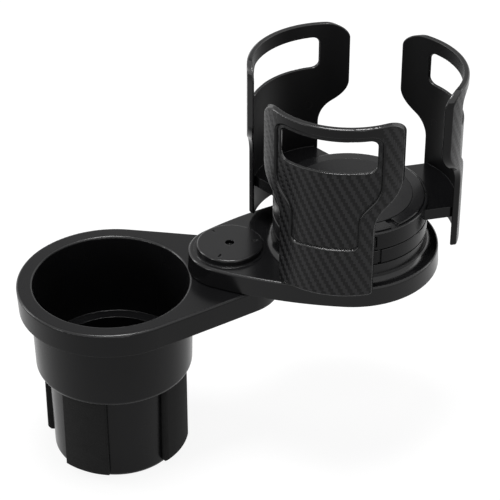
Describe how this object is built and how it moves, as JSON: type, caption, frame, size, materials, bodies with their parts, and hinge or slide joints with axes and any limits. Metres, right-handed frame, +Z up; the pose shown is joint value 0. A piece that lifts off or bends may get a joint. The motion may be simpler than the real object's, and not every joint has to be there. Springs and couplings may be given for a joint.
{
  "type": "cup holder expander",
  "caption": "Cup holder expander: padded stem with a cup well, and a swivelling arm with a twist ring that draws tall claws in round a second cup.",
  "frame": {"origin": "middle of the stem's underside", "axes": "+Z up along the stem, +X from the cup well to the swivel"},
  "size_m": [0.2227, 0.1072, 0.2055],
  "materials": {
    "satin_black": "injection-moulded ABS, satin black, fine spark texture",
    "weave_black": "injection-moulded ABS, gloss black rails, dark woven twill texture on the outside",
    "soft_rubber": "soft black rubber, matt",
    "acetal": "natural white acetal, smooth",
    "zinc_steel": "zinc-plated steel"
  },
  "bodies": {
    "base": {"cup_body": "satin_black", "stem_pad_1": "soft_rubber", "stem_pad_2": "soft_rubber", "stem_pad_3": "soft_rubber", "stem_pad_4": "soft_rubber", "glide_washer": "acetal"},
    "swing_arm": {"upper_arm": "satin_black", "pivot_hub": "satin_black", "pivot_screw": "zinc_steel", "pivot_washer": "zinc_steel", "thrust_ring": "acetal", "slide_housing": "satin_black", "top_cover": "satin_black", "grip_pad": "soft_rubber", "cover_screw_1": "zinc_steel", "cover_screw_2": "zinc_steel", "cover_screw_3": "zinc_steel", "holder_screw": "zinc_steel", "holder_washer": "zinc_steel"},
    "ring": {"twist_ring": "satin_black"},
    "claw_body_1": {"claw_1": "weave_black", "cam_pin_1": "zinc_steel"},
    "claw_body_2": {"claw_2": "weave_black", "cam_pin_2": "zinc_steel"},
    "claw_body_3": {"claw_3": "weave_black", "cam_pin_3": "zinc_steel"}
  },
  "joints": [
    {"name": "arm_swivel", "type": "hinge", "parent": "base", "child": "swing_arm", "pos_m": [0.0603, 0, 0.0995], "axis": [0, 0, 1], "continuous": true},
    {"name": "ring_twist", "type": "hinge", "parent": "swing_arm", "child": "ring", "pos_m": [0.12045, -0.00431, 0.1235], "axis": [0, 0, 1], "range_deg": [0, 90]},
    {"name": "claw_1_slide", "type": "slide", "parent": "swing_arm", "child": "claw_body_1", "axis": [0.9997, 0.0244, 0], "range_m": [-0.0135, 0]},
    {"name": "claw_2_slide", "type": "slide", "parent": "swing_arm", "child": "claw_body_2", "axis": [-0.521, 0.8536, 0], "range_m": [-0.0135, 0]},
    {"name": "claw_3_slide", "type": "slide", "parent": "swing_arm", "child": "claw_body_3", "axis": [-0.4787, -0.878, 0], "range_m": [-0.0135, 0]}
  ],
  "couplings": [
    {"joint": "claw_1_slide", "follows": "ring_twist", "m_per_rad": -0.0085944},
    {"joint": "claw_2_slide", "follows": "ring_twist", "m_per_rad": -0.0085944},
    {"joint": "claw_3_slide", "follows": "ring_twist", "m_per_rad": -0.0085944}
  ]
}
